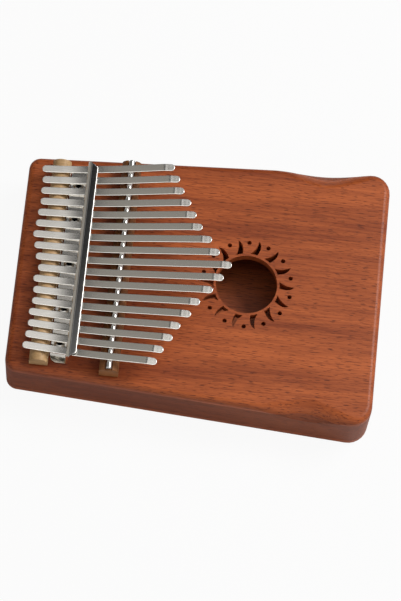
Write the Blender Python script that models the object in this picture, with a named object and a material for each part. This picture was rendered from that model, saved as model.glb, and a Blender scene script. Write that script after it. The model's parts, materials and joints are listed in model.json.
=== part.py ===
# A box kalimba with seventeen steel tines, built piece by piece at its real size.
# Metres, +Z up. The origin is the middle of the underside: +X runs along the box towards
# the sound-hole end, where the tines point, and +Y runs across it.

import math

import bmesh
import bpy

# Gap left between pieces that are glued, screwed or pressed together.
SEAT_GAP = 0.0003

# The box
BODY_LENGTH = 0.185
TAIL_WIDTH = 0.1145
HOLE_END_WIDTH = 0.1366
BODY_HEIGHT = 0.033
TAIL_CORNER_RADIUS = 0.006
HOLE_END_CORNER_RADIUS = 0.010
TOP_ROUND_OVER = 0.003
BOTTOM_ROUND_OVER = 0.001
TOP_BOARD_THICKNESS = 0.005
BACK_BOARD_THICKNESS = 0.004
RAIL_WIDTH = 0.009
TAIL_END_X = -BODY_LENGTH / 2
HOLE_END_X = BODY_LENGTH / 2

# The thumb scoop carved in the top edge of both long sides
SCOOP_SETBACK = 0.0325
SCOOP_CENTRE_X = HOLE_END_X - SCOOP_SETBACK
SCOOP_REACH = 0.029
SCOOP_EXTRA_WIDTH = 0.0065
SCOOP_EXTRA_DEPTH = 0.0055
SCOOP_FLATNESS = 0.75

# The sound hole and the sun cut round it
HOLE_SETBACK = 0.1164
HOLE_CENTRE_X = TAIL_END_X + HOLE_SETBACK
HOLE_RADIUS = 0.0155
RAY_COUNT = 14
FLAME_BASE_RADIUS = 0.0167
FLAME_TIP_RADIUS = 0.0243
FLAME_BASE_ANGLE = 12.9
FLAME_TIP_ANGLE = 3.5
FLAME_BACK_BEND = (-4.0, 0.0215)
FLAME_FRONT_BEND = (3.0, 0.0190)
FLAME_FIRST_ANGLE = -1.3
DOT_RING_RADIUS = 0.0226
DOT_RADIUS = 0.00115
DOT_FIRST_ANGLE = 14.4

# The two wooden bridges and the steel rod that the tines rest on
BACK_BRIDGE_SETBACK = 0.0169
BACK_BRIDGE_X = TAIL_END_X + BACK_BRIDGE_SETBACK
BACK_BRIDGE_WIDTH = 0.0093
BACK_BRIDGE_LENGTH = 0.1086
BACK_BRIDGE_SIDE = 0.0050
BACK_BRIDGE_CROWN = 0.0082
FRONT_BRIDGE_SETBACK = 0.0523
FRONT_BRIDGE_X = TAIL_END_X + FRONT_BRIDGE_SETBACK
FRONT_BRIDGE_WIDTH = 0.0097
FRONT_BRIDGE_LENGTH = 0.1130
FRONT_BRIDGE_SIDE = 0.0076
FRONT_BRIDGE_CROWN = 0.0106
ROD_RADIUS = 0.0015
ROD_TOP = 0.0124
ROD_LENGTH = 0.1120

# The tines
TINE_COUNT = 17
TINE_WIDTH = 0.00375
TINE_THICKNESS = 0.00115
TINE_PITCH = 0.00613
FAN_ANGLE = 4.1
TINE_SEAT_GAP = 0.0004
FREE_SLOPE = 0.215
TUNING_LENGTH = 0.0602
TUNING_END = 0.0048
TIP_LENGTH = 0.0053
TIP_DROP_SLOPE = 0.17
MAJOR_SCALE = (0, 2, 4, 5, 7, 9, 11)
TAIL_OVERHANGS_MM = (9.6, 8.9, 8.9, 8.5, 9.1, 9.5, 10.1, 8.9, 7.5, 5.7, 7.3, 6.7, 6.6, 7.5, 7.3, 7.9, 8.6)

# The pressure bracket, bent from one sheet, and its screws
BRACKET_SHEET = 0.0012
BRACKET_LENGTH = 0.1052
BRACKET_FOOT_SETBACK = 0.0222
BRACKET_FOOT_X = TAIL_END_X + BRACKET_FOOT_SETBACK
BRACKET_WEB_SETBACK = 0.0310
BRACKET_WEB_X = TAIL_END_X + BRACKET_WEB_SETBACK
BRACKET_LIP_SETBACK = 0.0355
BRACKET_LIP_X = TAIL_END_X + BRACKET_LIP_SETBACK
BRACKET_BEND_RADIUS = 0.0012
BAR_CLEARANCE = 0.00065
SLOT_SIDE_CLEARANCE = 0.0004
SLOT_FOOT_CLEARANCE = 0.0004
FOOT_CORNER_RADIUS = 0.004
LIP_CHAMFER = (0.0042, 0.0030)
SCREW_TINES = (2, 5, 9, 13, 16)
SCREW_SETBACK = 0.0263
SCREW_X = TAIL_END_X + SCREW_SETBACK
SCREW_RADIUS = 0.0014
SCREW_LENGTH = 0.0115
SCREW_HEAD_RADIUS = 0.0027
SCREW_HEAD_HEIGHT = 0.0018
SCREW_RECESS = (0.0028, 0.0006, 0.0009)

# The hardwood block glued under the top board, which the screws bite into
BLOCK_WIDTH = 0.022
BLOCK_SIDE_CLEARANCE = 0.0022
BLOCK_HEIGHT = 0.008

# Fineness of the curves
CORNER_STEPS = 7
SCOOP_STEPS = 20
EDGE_STEPS = 5
ROUND_STEPS = 16

# What follows from the sizes above
SIDE_SLOPE = (HOLE_END_WIDTH - TAIL_WIDTH) / (2 * BODY_LENGTH)
SIDE_STRETCH = math.hypot(1, SIDE_SLOPE)
BLOCK_TAIL_X = SCREW_X - BLOCK_WIDTH / 2
INSIDE_WIDTH_AT_BLOCK = TAIL_WIDTH + 2 * SIDE_SLOPE * (BLOCK_TAIL_X - TAIL_END_X) - 2 * RAIL_WIDTH * SIDE_STRETCH
BLOCK_LENGTH = INSIDE_WIDTH_AT_BLOCK - 2 * BLOCK_SIDE_CLEARANCE
TOP_Z = BODY_HEIGHT
BOARD_UNDERSIDE = TOP_Z - TOP_BOARD_THICKNESS
ROD_Z = TOP_Z + ROD_TOP - ROD_RADIUS
ROD_SPAN = FRONT_BRIDGE_X - BACK_BRIDGE_X
TINE_AT_BACK = TOP_Z + BACK_BRIDGE_CROWN + TINE_SEAT_GAP
TINE_AT_ROD = TOP_Z + ROD_TOP + SEAT_GAP
TAIL_SLOPE = 2 * (TINE_AT_ROD - TINE_AT_BACK) / ROD_SPAN - FREE_SLOPE
TINE_CURVATURE = (FREE_SLOPE - TAIL_SLOPE) / ROD_SPAN
MIDDLE_TINE = (TINE_COUNT + 1) // 2
FOOT_UNDERSIDE = TOP_Z + SEAT_GAP
FOOT_TOP = FOOT_UNDERSIDE + BRACKET_SHEET


def clear_scene():
    for item in list(bpy.data.objects):
        bpy.data.objects.remove(item, do_unlink=True)


def make_material(name, colour, roughness, metallic):
    material = bpy.data.materials.new(name)
    material.use_nodes = True
    shader = material.node_tree.nodes["Principled BSDF"]
    shader.inputs["Base Color"].default_value = (*colour, 1.0)
    shader.inputs["Roughness"].default_value = roughness
    shader.inputs["Metallic"].default_value = metallic
    return material


def add_object(name, mesh_data, material):
    # mesh_data is (points, faces); the faces are turned to point outwards.
    points, faces = mesh_data
    mesh = bpy.data.meshes.new(name)
    mesh.from_pydata(points, [], faces)
    shape = bmesh.new()
    shape.from_mesh(mesh)
    bmesh.ops.recalc_face_normals(shape, faces=shape.faces)
    shape.to_mesh(mesh)
    shape.free()
    if material is not None:
        mesh.materials.append(material)
    item = bpy.data.objects.new(name, mesh)
    bpy.context.scene.collection.objects.link(item)
    return item


def add_guide(name, mesh_data):
    guide = add_object(name, mesh_data, None)
    guide.hide_render = True
    guide.display_type = "WIRE"
    return guide


def combine(item, other, operation):
    step = item.modifiers.new(other.name, "BOOLEAN")
    step.operation = operation
    step.solver = "EXACT"
    step.object = other


def join_meshes(parts):
    points, faces = [], []
    for part_points, part_faces in parts:
        start = len(points)
        points += part_points
        faces += [[start + index for index in face] for face in part_faces]
    return points, faces


def loft(rings):
    # A closed solid through rings of equally many points, capped at both ends.
    count = len(rings[0])
    points = [point for ring in rings for point in ring]
    faces = [list(range(count)), list(range(len(points) - count, len(points)))]
    for level in range(len(rings) - 1):
        low, high = level * count, (level + 1) * count
        for index in range(count):
            after = (index + 1) % count
            faces.append([low + index, low + after, high + after, high + index])
    return points, faces


def upright_prism(outline, low_z, high_z):
    return loft([[(x, y, z) for x, y in outline] for z in (low_z, high_z)])


def crosswise_prism(section, length):
    # section is in X and Z; the prism runs along Y, centred on it.
    return loft([[(x, y, z) for x, z in section] for y in (-length / 2, length / 2)])


def box(low, high):
    outline = [(low[0], low[1]), (high[0], low[1]), (high[0], high[1]), (low[0], high[1])]
    return upright_prism(outline, low[2], high[2])


def circle(x, y, radius, steps):
    angles = [2 * math.pi * step / steps for step in range(steps)]
    return [(x + radius * math.cos(angle), y + radius * math.sin(angle)) for angle in angles]


def half_width(x):
    return (TAIL_WIDTH + HOLE_END_WIDTH) / 4 + SIDE_SLOPE * x


def scoop_share(x):
    away = abs(x - SCOOP_CENTRE_X) / SCOOP_REACH
    return math.cos(math.pi / 2 * away) ** 2 if away < 1 else 0.0


def corner_points(end_x, radius, first_angle, last_angle):
    centre_x = end_x - math.copysign(radius, end_x)
    centre_y = half_width(centre_x) - radius * SIDE_STRETCH
    result = []
    for step in range(CORNER_STEPS + 1):
        angle = first_angle + (last_angle - first_angle) * step / CORNER_STEPS
        normal = (math.cos(angle), math.sin(angle))
        result.append((centre_x + radius * normal[0], centre_y + radius * normal[1], normal))
    return result


def body_outline():
    # Anticlockwise points of the box seen from above, each with its outward normal.
    side_angle = math.pi / 2 + math.atan(SIDE_SLOPE)
    side_normal = (math.cos(side_angle), math.sin(side_angle))
    hole_corner = corner_points(BODY_LENGTH / 2, HOLE_END_CORNER_RADIUS, 0.0, side_angle)
    tail_corner = corner_points(-BODY_LENGTH / 2, TAIL_CORNER_RADIUS, side_angle, math.pi)
    side = []
    for step in range(SCOOP_STEPS + 1):
        x = SCOOP_CENTRE_X + SCOOP_REACH * (1 - 2 * step / SCOOP_STEPS)
        if tail_corner[0][0] + SEAT_GAP < x < hole_corner[-1][0] - SEAT_GAP:
            side.append((x, half_width(x), side_normal))
    far = hole_corner + side + tail_corner
    near = [(x, -y, (normal[0], -normal[1])) for x, y, normal in reversed(far)]
    return far + near


def edge_profile(share):
    # (inset, height) pairs up the top edge: a round-over, opened into a bevel by the scoop.
    width = TOP_ROUND_OVER + SCOOP_EXTRA_WIDTH * share
    depth = TOP_ROUND_OVER + SCOOP_EXTRA_DEPTH * share
    flat = SCOOP_FLATNESS * share
    result = []
    for step in range(EDGE_STEPS + 1):
        along = step / EDGE_STEPS
        angle = math.pi / 2 * along
        inset = (1 - flat) * width * (1 - math.cos(angle)) + flat * width * along
        drop = (1 - flat) * depth * (1 - math.sin(angle)) + flat * depth * (1 - along)
        result.append((inset, TOP_Z - drop))
    return result


def body_form():
    outline = body_outline()
    rings = []
    for inset, z in ((BOTTOM_ROUND_OVER, 0.0), (BOTTOM_ROUND_OVER * 0.3, BOTTOM_ROUND_OVER * 0.3),
                     (0.0, BOTTOM_ROUND_OVER)):
        rings.append([(x - normal[0] * inset, y - normal[1] * inset, z) for x, y, normal in outline])
    for step in range(EDGE_STEPS + 1):
        ring = []
        for x, y, normal in outline:
            inset, z = edge_profile(scoop_share(x))[step]
            ring.append((x - normal[0] * inset, y - normal[1] * inset, z))
        rings.append(ring)
    return loft(rings)


def bezier(first, bend, last, steps):
    result = []
    for step in range(steps + 1):
        share = step / steps
        weights = ((1 - share) ** 2, 2 * share * (1 - share), share ** 2)
        result.append(tuple(sum(w * p[axis] for w, p in zip(weights, (first, bend, last))) for axis in (0, 1)))
    return result


def flame_outline(turn):
    # Polar points in degrees and metres: a fin with a bulging back and a hollow front.
    tip = (FLAME_TIP_ANGLE, FLAME_TIP_RADIUS)
    back = bezier((0.0, FLAME_BASE_RADIUS), FLAME_BACK_BEND, tip, 5)
    front = bezier(tip, FLAME_FRONT_BEND, (FLAME_BASE_ANGLE, FLAME_BASE_RADIUS), 5)
    base = [(FLAME_BASE_ANGLE / 2, FLAME_BASE_RADIUS)]
    result = []
    for degrees, radius in back + front[1:] + base:
        angle = math.radians(degrees + turn)
        result.append((HOLE_CENTRE_X + radius * math.cos(angle), radius * math.sin(angle)))
    return result


def rosette_cutter():
    low_z, high_z = BOARD_UNDERSIDE - TOP_BOARD_THICKNESS, TOP_Z + TOP_BOARD_THICKNESS
    parts = [upright_prism(circle(HOLE_CENTRE_X, 0.0, HOLE_RADIUS, 4 * ROUND_STEPS), low_z, high_z)]
    for index in range(RAY_COUNT):
        turn = 360.0 * index / RAY_COUNT
        parts.append(upright_prism(flame_outline(FLAME_FIRST_ANGLE + turn), low_z, high_z))
        angle = math.radians(DOT_FIRST_ANGLE + turn)
        centre = (HOLE_CENTRE_X + DOT_RING_RADIUS * math.cos(angle), DOT_RING_RADIUS * math.sin(angle))
        parts.append(upright_prism(circle(*centre, DOT_RADIUS, 12), low_z, high_z))
    return join_meshes(parts)


def tine_offset(number):
    # Tine 1 is on the +Y side.
    return MIDDLE_TINE - number


def tine_angle(number):
    return math.radians(FAN_ANGLE) * tine_offset(number) / (MIDDLE_TINE - 1)


def tine_y(number, x):
    # The pitch is measured where the bracket's web holds the tines.
    return TINE_PITCH * tine_offset(number) + (x - BRACKET_WEB_X) * math.tan(tine_angle(number))


def tine_underside(x):
    # Straight behind the back bridge, bent between the bridges, straight again past the rod.
    past_back = x - BACK_BRIDGE_X
    if past_back < 0:
        return TINE_AT_BACK + TAIL_SLOPE * past_back
    if past_back < ROD_SPAN:
        return TINE_AT_BACK + TAIL_SLOPE * past_back + TINE_CURVATURE * past_back ** 2 / 2
    return TINE_AT_ROD + FREE_SLOPE * (past_back - ROD_SPAN)


def tine_free_length(number):
    # The longest tine is the middle one, and the scale climbs outwards on alternate sides.
    offset = tine_offset(number)
    note = 2 * offset if offset >= 0 else -2 * offset - 1
    semitones = 12 * (note // len(MAJOR_SCALE)) + MAJOR_SCALE[note % len(MAJOR_SCALE)]
    return TUNING_LENGTH * 2 ** (-semitones / 24) - TUNING_END


def tine_stations(number):
    # (distance past the rod, half width, height of the underside) along one tine
    half = TINE_WIDTH / 2
    turn = math.cos(tine_angle(number))
    tail = (BACK_BRIDGE_X - FRONT_BRIDGE_X) / turn - TAIL_OVERHANGS_MM[number - 1] / 1000
    tip = tine_free_length(number)
    bend = tip - TIP_LENGTH
    stations = [(tail + half * (1 - math.cos(angle)), half * math.sin(angle))
                for angle in (math.radians(degrees) for degrees in (18, 36, 58, 90))]
    bent_steps = 7
    for step in range(bent_steps + 1):
        stations.append((-ROD_SPAN / turn * (1 - step / bent_steps), half))
    stations += [(bend - half / 2, half), (bend + half / 2, half)]
    stations += [(tip - half * (1 - math.cos(angle)), half * math.sin(angle))
                 for angle in (math.radians(degrees) for degrees in (90, 58, 36, 18))]
    result = []
    for distance, width in stations:
        z = tine_underside(FRONT_BRIDGE_X + distance * turn)
        past_bend = max(0.0, distance - bend + half / 2)
        z -= TIP_DROP_SLOPE * past_bend * min(1.0, past_bend / TINE_WIDTH)
        result.append((distance, width, z))
    return result


def build_tine(number, material):
    rings = []
    for distance, width, z in tine_stations(number):
        low, high = z - ROD_Z, z - ROD_Z + TINE_THICKNESS
        rings.append([(distance, -width, low), (distance, width, low),
                      (distance, width, high), (distance, -width, high)])
    tine = add_object(f"tine_{number:02d}", loft(rings), material)
    tine.location = (FRONT_BRIDGE_X, tine_y(number, FRONT_BRIDGE_X), ROD_Z)
    tine.rotation_euler = (0.0, 0.0, tine_angle(number))
    return tine


def slab(name, low_z, high_z, body, material):
    reach = (BODY_LENGTH, HOLE_END_WIDTH)
    board = add_object(name, box((-reach[0], -reach[1], low_z), (reach[0], reach[1], high_z)), material)
    combine(board, body, "INTERSECT")
    return board


def build_rails(body, material):
    low_z, high_z = BACK_BOARD_THICKNESS + SEAT_GAP, BOARD_UNDERSIDE - SEAT_GAP
    beyond = BODY_LENGTH / 2 + RAIL_WIDTH

    def inner(x):
        return half_width(x) - RAIL_WIDTH * SIDE_STRETCH

    for name, side in (("side_rail_far", 1), ("side_rail_near", -1)):
        outline = [(-beyond, side * inner(-beyond)), (beyond, side * inner(beyond)),
                   (beyond, side * HOLE_END_WIDTH), (-beyond, side * HOLE_END_WIDTH)]
        rail = add_object(name, upright_prism(outline, low_z, high_z), material)
        combine(rail, body, "INTERSECT")
    for name, end in (("end_rail_tail", -1), ("end_rail_hole_end", 1)):
        outer, inside = end * beyond, end * (BODY_LENGTH / 2 - RAIL_WIDTH)
        outline = [(inside, SEAT_GAP - inner(inside)), (outer, SEAT_GAP - inner(outer)),
                   (outer, inner(outer) - SEAT_GAP), (inside, inner(inside) - SEAT_GAP)]
        rail = add_object(name, upright_prism(outline, low_z, high_z), material)
        combine(rail, body, "INTERSECT")


def domed_section(x, width, side, crown, groove):
    # A bar's section with a domed top; groove is (half width, floor height) or None.
    rise = crown - side
    radius = (width ** 2 / 4 + rise ** 2) / (2 * rise)

    def dome(away):
        return TOP_Z + crown - radius + math.sqrt(radius ** 2 - away ** 2)

    stops = [width / 2 - width * step / 10 for step in range(11)]
    base = TOP_Z + SEAT_GAP
    section = [(x - width / 2, base), (x + width / 2, base)]
    if groove is None:
        return section + [(x + away, dome(away)) for away in stops]
    half, floor = groove
    section += [(x + away, dome(away)) for away in stops if away > half + SEAT_GAP]
    section += [(x + half, dome(half)), (x + half, floor), (x - half, floor), (x - half, dome(half))]
    return section + [(x + away, dome(away)) for away in stops if away < -half - SEAT_GAP]


def build_bridges(back_material, front_material, rod_material):
    back = domed_section(BACK_BRIDGE_X, BACK_BRIDGE_WIDTH, BACK_BRIDGE_SIDE, BACK_BRIDGE_CROWN, None)
    add_object("back_bridge", crosswise_prism(back, BACK_BRIDGE_LENGTH), back_material)
    groove = (ROD_RADIUS + SEAT_GAP, ROD_Z - ROD_RADIUS - SEAT_GAP)
    front = domed_section(FRONT_BRIDGE_X, FRONT_BRIDGE_WIDTH, FRONT_BRIDGE_SIDE, FRONT_BRIDGE_CROWN, groove)
    add_object("front_bridge", crosswise_prism(front, FRONT_BRIDGE_LENGTH), front_material)
    section = circle(FRONT_BRIDGE_X, ROD_Z, ROD_RADIUS, ROUND_STEPS)
    rod = add_object("saddle_rod", crosswise_prism(section, ROD_LENGTH), rod_material)
    rod.data.shade_smooth()
    rod.data.set_sharp_from_angle(angle=math.radians(40))


def bar_underside():
    return tine_underside(BRACKET_LIP_X) + TINE_THICKNESS + BAR_CLEARANCE


def bracket_section():
    # Base plate, bend, web, bend and lip, followed along the sheet's middle.
    half = BRACKET_SHEET / 2
    reach = BRACKET_BEND_RADIUS
    low, high = FOOT_UNDERSIDE + half, bar_underside() + half
    path = [(BRACKET_FOOT_X, low, 0.0)]
    for step in range(5):
        angle = math.pi / 2 * step / 4
        path.append((BRACKET_WEB_X - reach + reach * math.sin(angle), low + reach - reach * math.cos(angle), angle))
    for step in range(5):
        angle = math.pi / 2 * (1 - step / 4)
        path.append((BRACKET_WEB_X + reach - reach * math.sin(angle), high - reach + reach * math.cos(angle), angle))
    path.append((BRACKET_LIP_X, high, 0.0))
    left = [(x - half * math.sin(angle), z + half * math.cos(angle)) for x, z, angle in path]
    right = [(x + half * math.sin(angle), z - half * math.cos(angle)) for x, z, angle in path]
    return left + right[::-1]


def bracket_cutter():
    top = bar_underside() + 2 * BRACKET_SHEET
    end = BRACKET_LENGTH / 2
    parts = []
    web = (BRACKET_WEB_X - BRACKET_SHEET, BRACKET_WEB_X + BRACKET_SHEET)
    half_slot = TINE_WIDTH / 2 + SLOT_SIDE_CLEARANCE
    low_z = tine_underside(BRACKET_WEB_X - BRACKET_SHEET / 2) - SLOT_FOOT_CLEARANCE
    high_z = tine_underside(BRACKET_WEB_X + BRACKET_SHEET / 2) + TINE_THICKNESS + BAR_CLEARANCE
    for number in range(1, TINE_COUNT + 1):
        y = tine_y(number, BRACKET_WEB_X)
        parts.append(box((web[0], y - half_slot, low_z), (web[1], y + half_slot, high_z)))
    for number in SCREW_TINES:
        hole = circle(SCREW_X, tine_y(number, SCREW_X), SCREW_RADIUS + SEAT_GAP, ROUND_STEPS)
        parts.append(upright_prism(hole, FOOT_UNDERSIDE - BRACKET_SHEET, FOOT_TOP + BRACKET_SHEET))
    for side in (-1, 1):
        chamfer = [(BRACKET_LIP_X - LIP_CHAMFER[0], side * (end + SEAT_GAP)),
                   (BRACKET_LIP_X + SEAT_GAP, side * (end + SEAT_GAP)),
                   (BRACKET_LIP_X + SEAT_GAP, side * (end - LIP_CHAMFER[1]))]
        parts.append(upright_prism(chamfer, high_z + SEAT_GAP, top))
        centre = (BRACKET_FOOT_X + FOOT_CORNER_RADIUS, end - FOOT_CORNER_RADIUS)
        corner = [(BRACKET_FOOT_X - SEAT_GAP, side * centre[1]), (BRACKET_FOOT_X - SEAT_GAP, side * (end + SEAT_GAP)),
                  (centre[0], side * (end + SEAT_GAP))]
        for step in range(6):
            angle = math.pi / 2 * (1 + step / 5)
            corner.append((centre[0] + FOOT_CORNER_RADIUS * math.cos(angle),
                           side * (centre[1] + FOOT_CORNER_RADIUS * math.sin(angle))))
        parts.append(upright_prism(corner, FOOT_UNDERSIDE - BRACKET_SHEET, FOOT_TOP + BRACKET_SHEET))
    return join_meshes(parts)


def build_bracket(material):
    bracket = add_object("pressure_bracket", crosswise_prism(bracket_section(), BRACKET_LENGTH), material)
    combine(bracket, add_guide("bracket_cuts", bracket_cutter()), "DIFFERENCE")


def screw_rings():
    # Rings from the head's top down to the point, about the screw's own axis.
    seat = FOOT_TOP + SEAT_GAP
    heights = [(SCREW_HEAD_RADIUS * 0.55, seat + SCREW_HEAD_HEIGHT),
               (SCREW_HEAD_RADIUS * 0.85, seat + SCREW_HEAD_HEIGHT * 0.78),
               (SCREW_HEAD_RADIUS, seat + SCREW_HEAD_HEIGHT * 0.35),
               (SCREW_HEAD_RADIUS, seat),
               (SCREW_RADIUS, seat),
               (SCREW_RADIUS, seat - SCREW_LENGTH + 2 * SCREW_RADIUS),
               (SCREW_RADIUS * 0.2, seat - SCREW_LENGTH)]
    return [[(x, y, z) for x, y in circle(0.0, 0.0, radius, ROUND_STEPS)] for radius, z in heights]


def build_screws(material):
    reach, half, depth = SCREW_RECESS
    top = FOOT_TOP + SEAT_GAP + SCREW_HEAD_HEIGHT
    long_way = box((-reach / 2, -half / 2, top - depth), (reach / 2, half / 2, top + depth))
    cross_way = box((-half / 2, -reach / 2, top - depth - SEAT_GAP), (half / 2, reach / 2, top + depth + SEAT_GAP))
    for index, number in enumerate(SCREW_TINES):
        screw = add_object(f"bracket_screw_{index + 1}", loft(screw_rings()), material)
        for label, cut in (("long", long_way), ("cross", cross_way)):
            guide = add_guide(f"recess_{label}_{index + 1}", cut)
            guide.location = (SCREW_X, tine_y(number, SCREW_X), 0.0)
            combine(screw, guide, "DIFFERENCE")
        screw.location = (SCREW_X, tine_y(number, SCREW_X), 0.0)


def screw_hole_cutter(low_z, high_z):
    return join_meshes([upright_prism(circle(SCREW_X, tine_y(number, SCREW_X), SCREW_RADIUS + SEAT_GAP,
                                             ROUND_STEPS), low_z, high_z) for number in SCREW_TINES])


def build_block(material):
    high_z = BOARD_UNDERSIDE - SEAT_GAP
    low = (BLOCK_TAIL_X, -BLOCK_LENGTH / 2)
    high = (BLOCK_TAIL_X + BLOCK_WIDTH, BLOCK_LENGTH / 2)
    block = add_object("anchor_block", box((*low, high_z - BLOCK_HEIGHT), (*high, high_z)), material)
    cuts = screw_hole_cutter(high_z - 2 * BLOCK_HEIGHT, high_z + BLOCK_HEIGHT)
    combine(block, add_guide("block_holes", cuts), "DIFFERENCE")


def build_box(board_material, rail_material, back_material):
    body = add_guide("body_form", body_form())
    top = slab("top_board", BOARD_UNDERSIDE, TOP_Z + TOP_BOARD_THICKNESS, body, board_material)
    combine(top, add_guide("sun_cuts", rosette_cutter()), "DIFFERENCE")
    holes = screw_hole_cutter(BOARD_UNDERSIDE - TOP_BOARD_THICKNESS, TOP_Z + TOP_BOARD_THICKNESS)
    combine(top, add_guide("board_holes", holes), "DIFFERENCE")
    build_rails(body, rail_material)
    slab("back_board", -BACK_BOARD_THICKNESS, BACK_BOARD_THICKNESS, body, back_material)


def main():
    clear_scene()
    board_wood = make_material("board_wood", (0.36, 0.115, 0.04), 0.42, 0.0)
    rail_wood = make_material("rail_wood", (0.20, 0.075, 0.035), 0.50, 0.0)
    block_wood = make_material("block_wood", (0.30, 0.16, 0.08), 0.70, 0.0)
    pale_bar = make_material("pale_bar_wood", (0.38, 0.23, 0.10), 0.50, 0.0)
    tan_bar = make_material("tan_bar_wood", (0.45, 0.20, 0.07), 0.50, 0.0)
    chrome = make_material("chrome", (0.80, 0.79, 0.76), 0.10, 1.0)
    steel = make_material("tine_steel", (0.62, 0.60, 0.56), 0.30, 1.0)
    screw_steel = make_material("screw_steel", (0.45, 0.45, 0.46), 0.25, 1.0)
    build_box(board_wood, rail_wood, rail_wood)
    build_block(block_wood)
    build_bridges(pale_bar, tan_bar, chrome)
    build_bracket(chrome)
    build_screws(screw_steel)
    for number in range(1, TINE_COUNT + 1):
        build_tine(number, steel)


main()
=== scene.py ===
import json
import math
import bpy
from mathutils import Matrix, Vector

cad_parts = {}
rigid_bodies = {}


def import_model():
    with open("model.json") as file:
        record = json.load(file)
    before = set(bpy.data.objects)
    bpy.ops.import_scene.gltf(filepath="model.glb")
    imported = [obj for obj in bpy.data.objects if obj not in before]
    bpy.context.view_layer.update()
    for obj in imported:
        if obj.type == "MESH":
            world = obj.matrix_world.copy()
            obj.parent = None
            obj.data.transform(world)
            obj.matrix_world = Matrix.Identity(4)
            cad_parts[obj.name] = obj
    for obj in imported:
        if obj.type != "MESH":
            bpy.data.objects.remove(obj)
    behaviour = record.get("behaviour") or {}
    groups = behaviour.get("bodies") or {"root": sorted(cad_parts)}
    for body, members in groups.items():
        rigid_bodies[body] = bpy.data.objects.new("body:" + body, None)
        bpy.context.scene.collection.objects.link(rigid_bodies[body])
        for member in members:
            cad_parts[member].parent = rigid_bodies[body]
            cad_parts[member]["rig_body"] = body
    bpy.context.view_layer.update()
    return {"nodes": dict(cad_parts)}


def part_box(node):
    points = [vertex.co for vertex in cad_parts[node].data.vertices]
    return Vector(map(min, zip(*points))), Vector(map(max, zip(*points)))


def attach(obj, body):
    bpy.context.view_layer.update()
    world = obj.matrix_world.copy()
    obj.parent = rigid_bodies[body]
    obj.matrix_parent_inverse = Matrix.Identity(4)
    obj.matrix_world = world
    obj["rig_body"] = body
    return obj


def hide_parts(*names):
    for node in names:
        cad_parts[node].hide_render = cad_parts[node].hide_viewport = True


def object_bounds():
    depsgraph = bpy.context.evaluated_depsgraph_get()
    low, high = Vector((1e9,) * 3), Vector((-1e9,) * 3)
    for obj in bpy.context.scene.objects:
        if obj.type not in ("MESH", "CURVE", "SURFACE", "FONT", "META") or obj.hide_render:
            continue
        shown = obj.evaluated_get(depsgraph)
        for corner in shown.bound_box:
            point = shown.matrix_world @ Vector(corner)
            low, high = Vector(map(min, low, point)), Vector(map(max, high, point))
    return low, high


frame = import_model()


class Socket:
    def __init__(self, tree, out=None):
        self.tree = tree
        self.out = out

    def node(self, kind, inputs=None, output=0, **settings):
        made = self.tree.nodes.new(kind)
        for key, value in settings.items():
            setattr(made, key, value)
        self.feed(made, inputs or {})
        return Socket(self.tree, made.outputs[output])

    def feed(self, target, inputs):
        for key, value in inputs.items():
            if isinstance(value, Socket):
                self.tree.links.new(value.out, target.inputs[key])
            else:
                target.inputs[key].default_value = value

    def maths(self, operation, first, second):
        return self.node("ShaderNodeMath", {0: first, 1: second}, operation=operation)

    def ramp(self, start, end):
        return self.node("ShaderNodeMapRange", {"Value": self, "From Min": start, "From Max": end})

    def mix(self, first, second):
        return self.node("ShaderNodeMix", {0: self, 6: first, 7: second}, 2, data_type="RGBA")

    def __add__(self, other):
        return self.maths("ADD", self, other)

    def __mul__(self, other):
        return self.maths("MULTIPLY", self, other)

    def __sub__(self, other):
        return self.maths("SUBTRACT", self, other)

    def __rsub__(self, other):
        return self.maths("SUBTRACT", other, self)

    __radd__ = __add__
    __rmul__ = __mul__


def startPaint(name):
    paint = bpy.data.materials.new(name)
    paint.use_nodes = True
    return paint, Socket(paint.node_tree), paint.node_tree.nodes["Principled BSDF"]


def grain(start, stretch, detail):
    place = start.node("ShaderNodeTexCoord", output="Object")
    place = place.node("ShaderNodeMapping", {"Vector": place, "Scale": stretch})
    return place.node("ShaderNodeTexNoise", {"Vector": place, "Scale": 1.0, "Detail": detail})


woodGrain = {
    "fibre": (45.0, 1100.0, 1100.0),
    "fibreDetail": 3.0,
    "pore": (210.0, 2300.0, 2300.0),
    "poreDetail": 1.0,
    "poreFrom": 0.58,
    "poreFull": 0.68,
    "ribbonShare": 0.6,
    "darkestAt": 0.36,
    "lightestAt": 0.64,
    "reliefStrength": 0.3,
    "reliefDepth": 0.0001,
    "coatRoughness": 0.3,
    "specular": 0.2,
}


def woodPaint(name, look):
    paint, start, shader = startPaint(name)
    along, across = look["ribbon"]
    share = woodGrain["ribbonShare"]
    ribbon = grain(start, (along, across, across), woodGrain["fibreDetail"])
    fibre = grain(start, woodGrain["fibre"], woodGrain["fibreDetail"])
    pores = grain(start, woodGrain["pore"], woodGrain["poreDetail"])
    pores = pores.ramp(woodGrain["poreFrom"], woodGrain["poreFull"])
    tone = ribbon * share + fibre * (1 - share)
    tone = tone.ramp(woodGrain["darkestAt"], woodGrain["lightestAt"])
    colour = tone.mix(look["dark"], look["light"])
    colour = (pores * look["poreDepth"]).mix(colour, look["pore"])
    relief = start.node("ShaderNodeBump", {
        "Height": 1.0 - pores,
        "Strength": woodGrain["reliefStrength"],
        "Distance": woodGrain["reliefDepth"],
    })
    start.feed(shader, {
        "Base Color": colour,
        "Normal": relief,
        "Roughness": look["roughness"],
        "Coat Weight": look["coat"],
        "Coat Roughness": woodGrain["coatRoughness"],
        "Specular IOR Level": woodGrain["specular"],
    })
    return paint


brushMarks = {"stretch": (30.0, 2500.0, 2500.0), "detail": 2.0}


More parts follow.
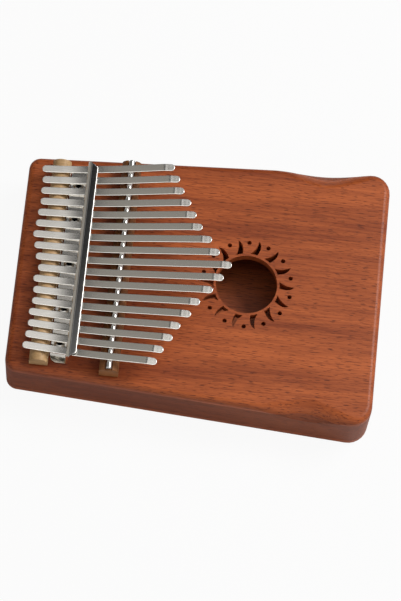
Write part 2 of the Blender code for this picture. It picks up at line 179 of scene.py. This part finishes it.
def metalPaint(name, look):
    paint, start, shader = startPaint(name)
    marks = grain(start, brushMarks["stretch"], brushMarks["detail"])
    brushed = marks * look["brushed"] + look["roughness"]
    start.feed(shader, {"Base Color": look["colour"], "Metallic": 1.0, "Roughness": brushed})
    return paint


# The lip's level top gets a painted reflection: a dark band of colour along it, standing for the dark
# room the lip mirrors, half as strong at the free edge.
def lipReflectionPaint(name, look, lipEnd):
    paint = metalPaint(name, look)
    start = Socket(paint.node_tree)
    place = start.node("ShaderNodeTexCoord", output="Object")
    alongX = place.node("ShaderNodeSeparateXYZ", {0: place}, "X")
    bendSide = alongX.ramp(*[lipEnd - setback for setback in look["reflectionBandStart"]])
    freeSide = alongX.ramp(*[lipEnd - setback for setback in look["reflectionBandEnd"]])
    paintedReflectionMask = bendSide * (freeSide * look["reflectionEdgeFade"] + (1 - look["reflectionEdgeFade"]))
    # The dark colour mixed in here is a painted reflection, not the metal's own colour.
    withPaintedReflection = paintedReflectionMask.mix(look["colour"], look["paintedReflectionColour"])
    start.feed(paint.node_tree.nodes["Principled BSDF"], {"Base Color": withPaintedReflection})
    return paint


copying = {
    "weld": 0.000002,
    "flatWithin": 0.5,
    "bevelFrom": 35,
    "bevelSteps": 5,
    "smoothWithin": 32,
    "sameLevel": 0.00005,
}


def markTop(piece):
    vertices = piece.data.vertices
    level = max(vertex.co.z for vertex in vertices) - copying["sameLevel"]
    weights = piece.data.attributes.new("bevel_weight_edge", "FLOAT", "EDGE")
    for edge in piece.data.edges:
        if all(vertices[end].co.z > level for end in edge.vertices):
            weights.data[edge.index].value = 1.0


def roundEdges(piece, width, topOnly):
    bpy.ops.object.mode_set(mode="EDIT")
    bpy.ops.mesh.dissolve_limited(angle_limit=math.radians(copying["flatWithin"]))
    bpy.ops.object.mode_set(mode="OBJECT")
    bevel = piece.modifiers.new("edges", "BEVEL")
    bevel.width = width
    bevel.segments = copying["bevelSteps"]
    bevel.angle_limit = math.radians(copying["bevelFrom"])
    bevel.use_clamp_overlap = False
    if topOnly:
        markTop(piece)
        bevel.limit_method = "WEIGHT"
    bpy.ops.object.modifier_apply(modifier=bevel.name)


def finerCopy(nodeName, paint, edge=0, smoothAngle=copying["smoothWithin"], topOnly=False):
    node = frame["nodes"][nodeName]
    piece = bpy.data.objects.new(nodeName + "_look", node.data.copy())
    bpy.context.scene.collection.objects.link(piece)
    bpy.ops.object.select_all(action="DESELECT")
    piece.select_set(True)
    bpy.context.view_layer.objects.active = piece
    bpy.ops.mesh.customdata_custom_splitnormals_clear()
    bpy.ops.object.mode_set(mode="EDIT")
    bpy.ops.mesh.select_all(action="SELECT")
    bpy.ops.mesh.remove_doubles(threshold=copying["weld"])
    bpy.ops.object.mode_set(mode="OBJECT")
    if edge:
        roundEdges(piece, edge, topOnly)
    bpy.ops.object.shade_smooth_by_angle(angle=math.radians(smoothAngle))
    weighted = piece.modifiers.new("flats", "WEIGHTED_NORMAL")
    weighted.keep_sharp = True
    bpy.ops.object.modifier_apply(modifier=weighted.name)
    piece.data.materials.clear()
    piece.data.materials.append(paint)
    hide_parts(nodeName)
    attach(piece, node["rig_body"])
    return piece


# Moves the face that lies farthest along an axis a little farther out.
def stretch(piece, axis, way, amount):
    limit = max(way * vertex.co[axis] for vertex in piece.data.vertices)
    for vertex in piece.data.vertices:
        if way * vertex.co[axis] > limit - copying["sameLevel"]:
            vertex.co[axis] += way * amount


# The glue lines along the two boards are closed here. Those where the rails meet stay open.
upright = 2
shell = {
    "glueLine": 0.00031,
    "top": {"dark": (0.22, 0.042, 0.0105, 1), "light": (0.48, 0.115, 0.030, 1),
            "pore": (0.09, 0.016, 0.005, 1), "poreDepth": 0.85, "ribbon": (7.0, 90.0),
            "roughness": 0.42, "coat": 0.08},
    # The rail wood is a darker copy of the board wood: painted shade for the side and end walls and
    # the block inside the hole.
    "rail": {"dark": (0.15, 0.032, 0.012, 1), "light": (0.30, 0.078, 0.028, 1),
             "pore": (0.06, 0.014, 0.006, 1), "poreDepth": 0.7, "ribbon": (7.0, 90.0),
             "roughness": 0.45, "coat": 0.05},
}
topPaint = woodPaint("board wood", shell["top"])
shadedRailPaint = woodPaint("rail wood with painted shade", shell["rail"])
topBoard = finerCopy("top_board", topPaint)
stretch(topBoard, upright, -1, shell["glueLine"])
backBoard = finerCopy("back_board", topPaint)
stretch(backBoard, upright, 1, shell["glueLine"])
for name in ("end_rail_tail", "end_rail_hole_end", "side_rail_far", "side_rail_near"):
    finerCopy(name, shadedRailPaint)
print("shell done")

bars = {
    "edge": 0.0002,
    "pale": {"dark": (0.38, 0.23, 0.10, 1), "light": (0.66, 0.43, 0.22, 1),
             "pore": (0.20, 0.12, 0.05, 1), "poreDepth": 0.4, "ribbon": (60.0, 60.0),
             "roughness": 0.5, "coat": 0.1},
    # The tan bar's colour is its own tan wood, darkened further with painted shade from the tines over
    # it.
    "tan": {"dark": (0.16, 0.060, 0.018, 1), "light": (0.30, 0.120, 0.038, 1),
            "pore": (0.14, 0.06, 0.02, 1), "poreDepth": 0.4, "ribbon": (60.0, 60.0),
            "roughness": 0.5, "coat": 0.1},
}
finerCopy("back_bridge", woodPaint("pale wood", bars["pale"]), bars["edge"])
finerCopy("front_bridge", woodPaint("tan wood with painted shade", bars["tan"]), bars["edge"])
# The anchor block takes the darker rail wood, which is painted shade.
finerCopy("anchor_block", shadedRailPaint, bars["edge"])
print("wooden bars done")

fittings = {
    "edge": 0.0004,
    "screwEdge": 0.0001,
    "screws": 5,
    "chrome": {"colour": (0.48, 0.48, 0.47, 1), "roughness": 0.06, "brushed": 0.04},
    # The bracket's dark band colour, where it starts and ends, and its fade make a painted reflection
    # along the lip.
    "bracket": {"colour": (0.82, 0.79, 0.74, 1), "paintedReflectionColour": (0.16, 0.16, 0.16, 1),
                "roughness": 0.06, "brushed": 0.06,
                "reflectionBandStart": (0.0037, 0.0030), "reflectionBandEnd": (0.0002, 0.0010), "reflectionEdgeFade": 0.5},
    "screw": {"colour": (0.55, 0.54, 0.52, 1), "roughness": 0.12, "brushed": 0.1},
}
chrome = metalPaint("chrome", fittings["chrome"])
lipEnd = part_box("pressure_bracket")[1].x
bracketReflectionPaint = lipReflectionPaint("bracket chrome with painted reflection", fittings["bracket"], lipEnd)
finerCopy("pressure_bracket", bracketReflectionPaint, fittings["edge"], topOnly=True)
finerCopy("saddle_rod", chrome, fittings["edge"])
screwPaint = metalPaint("screw steel", fittings["screw"])
for number in range(1, fittings["screws"] + 1):
    finerCopy(f"bracket_screw_{number}", screwPaint, fittings["screwEdge"])
print("fittings done")

tines = {
    "count": 17,
    "edge": 0.00024,
    "smoothAngle": 20,
    "steel": {"colour": (0.76, 0.745, 0.71, 1), "roughness": 0.09, "brushed": 0.14},
}
tinePaint = metalPaint("tine steel", tines["steel"])
for number in range(1, tines["count"] + 1):
    finerCopy(f"tine_{number:02d}", tinePaint, tines["edge"], tines["smoothAngle"])
print("tines done")

floorLook = {
    "half": 4.0,
    "below": 0.0002,
    "colour": (0.65, 0.65, 0.65, 1),
    "roughness": 0.9,
    "plainShare": 0.93,
}
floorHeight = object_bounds()[0].z - floorLook["below"]
bpy.ops.mesh.primitive_plane_add(size=2 * floorLook["half"], location=(0, 0, floorHeight))
floor = bpy.context.object
floor.name = "floor"
floorPaint, start, shader = startPaint("floor")
start.feed(shader, {"Base Color": floorLook["colour"], "Roughness": floorLook["roughness"]})
seen = start.node("ShaderNodeLightPath", output="Is Camera Ray") * floorLook["plainShare"]
glow = start.node("ShaderNodeEmission", {"Color": (1, 1, 1, 1), "Strength": 1.0})
lit = Socket(floorPaint.node_tree, shader.outputs[0])
both = start.node("ShaderNodeMixShader", {0: seen, 1: lit, 2: glow})
start.feed(floorPaint.node_tree.nodes["Material Output"], {"Surface": both})
floor.data.materials.append(floorPaint)
print("floor done")

# Along X the room goes from beige through a dark band to bright, and a thin dark strip hangs overhead.
# It is dark behind the object and bright in front. Dull faces get less of it, least from the front.
room = {
    "beige": (0.37, 0.35, 0.32, 1),
    "dark": (0.06, 0.06, 0.06, 1),
    "bright": (1.25, 1.22, 1.18, 1),
    "front": (1.5, 1.47, 1.42, 1),
    "beigeEnds": (-0.30, -0.25),
    "brightStarts": (-0.18, -0.12),
    "stripStarts": (-0.082, -0.074),
    "stripEnds": (0.0, -0.02),
    "stripFades": (0.29, 0.35),
    "farStarts": (0.31, 0.40),
    "farShade": 0.4,
    "backStarts": (0.50, 0.75),
    "frontStarts": (-0.05, -0.45),
    "woodShade": 0.45,
    "frontWoodShade": 0.5,
}
world = bpy.data.worlds.new("room")
bpy.context.scene.world = world
world.use_nodes = True
start = Socket(world.node_tree)
toward = start.node("ShaderNodeTexCoord", output="Generated")
alongX = start.node("ShaderNodeSeparateXYZ", {0: toward}, "X")
alongY = start.node("ShaderNodeSeparateXYZ", {0: toward}, "Y")
walls = alongX.ramp(*room["beigeEnds"]).mix(room["beige"], room["dark"])
walls = alongX.ramp(*room["brightStarts"]).mix(walls, room["bright"])
strip = alongX.ramp(*room["stripStarts"]) * alongX.ramp(*room["stripEnds"])
walls = (strip * alongY.ramp(*room["stripFades"])).mix(walls, room["dark"])
walls = (alongY.ramp(*room["farStarts"]) * room["farShade"]).mix(walls, room["dark"])
walls = alongY.ramp(*room["backStarts"]).mix(walls, room["dark"])
front = alongY.ramp(*room["frontStarts"])
walls = front.mix(walls, room["front"])
onWood = start.node("ShaderNodeLightPath", output="Is Diffuse Ray")
onWood = onWood * (front * room["frontWoodShade"] + room["woodShade"])
walls = onWood.mix(walls, room["dark"])
walls = start.node("ShaderNodeLightPath", output="Is Camera Ray").mix(walls, (1, 1, 1, 1))
start.feed(world.node_tree.nodes["Background"], {"Color": walls})

lamps = {
    "key": {"place": (0.60, 0.30, 0.85), "size": (0.45, 0.45), "power": 7.8},
    "front strip": {"place": (0.0, -0.95, 0.36), "size": (1.0, 0.20), "power": 0.8},
}
for name, look in lamps.items():
    light = bpy.data.lights.new(name, "AREA")
    light.shape = "RECTANGLE"
    light.size, light.size_y = look["size"]
    light.energy = look["power"]
    lamp = bpy.data.objects.new(name, light)
    lamp.location = look["place"]
    lamp.rotation_euler = (-Vector(look["place"])).to_track_quat("-Z", "Y").to_euler()
    bpy.context.scene.collection.objects.link(lamp)
print("light done")

shot = {"azimuth": -0.556, "elevation": 69.767, "roll": 6.544, "lens": 179.59, "sensor": 36.0,
        "eye": (-0.003468, -0.533486, 1.449990)}
azimuth = math.radians(shot["azimuth"])
elevation = math.radians(shot["elevation"])
roll = math.radians(shot["roll"])
level = math.cos(elevation)
back = Vector((math.sin(azimuth) * level, -math.cos(azimuth) * level, math.sin(elevation)))
right = (-back).cross(Vector((0, 0, 1))).normalized()
up = back.cross(right)
turnedRight = math.cos(roll) * right + math.sin(roll) * up
turnedUp = math.cos(roll) * up - math.sin(roll) * right
lens = bpy.data.cameras.new("camera")
lens.lens = shot["lens"]
lens.sensor_width = shot["sensor"]
camera = bpy.data.objects.new("camera", lens)
turned = Matrix((turnedRight, turnedUp, back)).transposed().to_4x4()
camera.matrix_world = Matrix.Translation(shot["eye"]) @ turned
bpy.context.scene.collection.objects.link(camera)
bpy.context.scene.camera = camera
bpy.context.scene.view_settings.view_transform = "Standard"
print("camera done")
